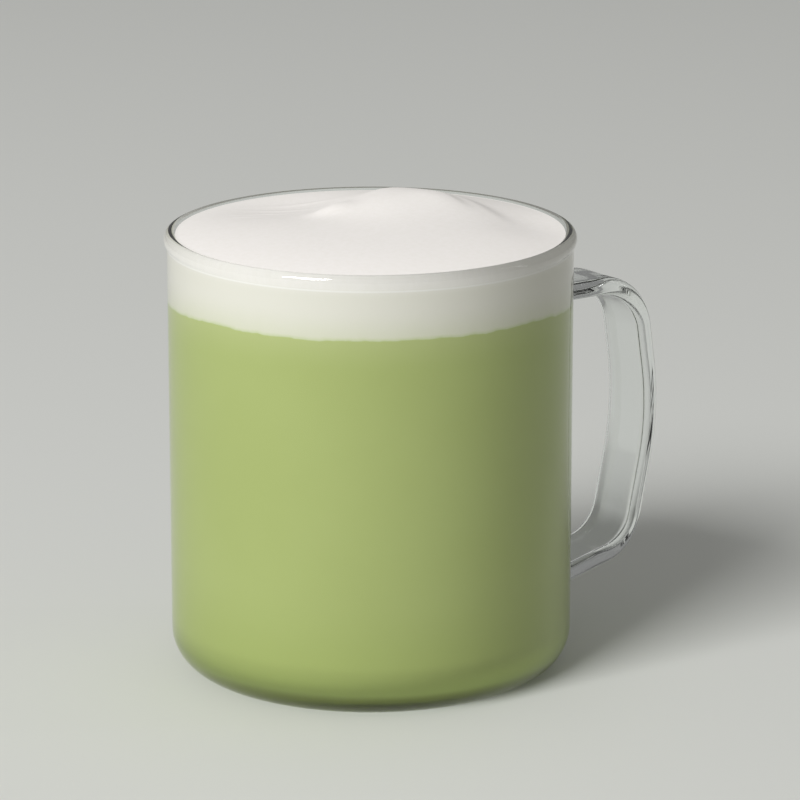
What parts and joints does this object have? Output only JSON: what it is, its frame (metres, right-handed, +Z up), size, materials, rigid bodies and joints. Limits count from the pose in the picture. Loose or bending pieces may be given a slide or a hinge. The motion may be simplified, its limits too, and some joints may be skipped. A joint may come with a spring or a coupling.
{
  "type": "matcha latte in a glass mug",
  "caption": "Straight clear glass mug with a flat strap handle, filled with milky green tea under a soft mound of milk foam.",
  "frame": {"origin": "on the mug's axis, in the plane that the foot of the mug stands on", "axes": "+Z up along the mug's axis, +X from the axis towards the handle, Y across the handle's strap"},
  "size_m": [0.1148, 0.0852, 0.0977],
  "materials": {
    "glass": "clear, polished",
    "latte": "opaque milky green tea, even",
    "foam": "soft fine-bubbled milk foam, matte"
  },
  "bodies": {
    "root": {"glass_mug": "glass", "latte": "latte", "milk_foam": "foam"}
  },
  "joints": []
}
